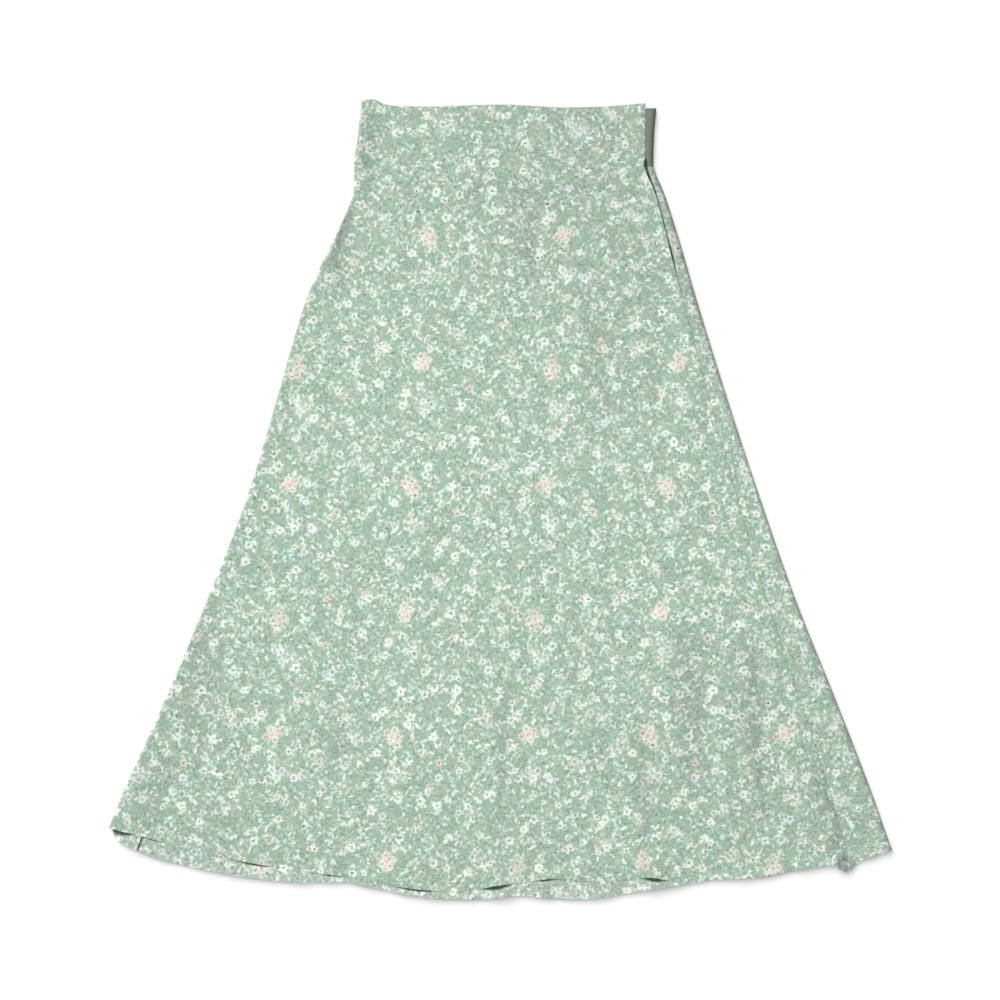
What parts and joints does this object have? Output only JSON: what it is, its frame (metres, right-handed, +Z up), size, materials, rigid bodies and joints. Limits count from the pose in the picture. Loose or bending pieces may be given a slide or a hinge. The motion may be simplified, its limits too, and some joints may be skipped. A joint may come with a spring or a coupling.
{
  "type": "flared skirt",
  "caption": "Flared midi skirt laid flat on its back: floral printed cloth, a deep self-cloth front waistband and a plain elastic back waistband.",
  "frame": {"origin": "on the surface it lies on, under the middle of the flat garment's outline", "axes": "+Z up from the surface, so the wearer's front faces +Z; +Y from the hem to the waist; +X to the right as seen from above, towards the back cloth that comes round the fold"},
  "size_m": [0.8629, 0.8799, 0.0076],
  "materials": {
    "printed_cloth": "matt woven cloth, sage green with a small floral print",
    "elastic": "matt ribbed elastic, plain grey"
  },
  "bodies": {
    "root": {"front_panel": "printed_cloth", "back_panel": "printed_cloth", "front_waistband": "printed_cloth", "back_waistband": "elastic"}
  },
  "joints": []
}
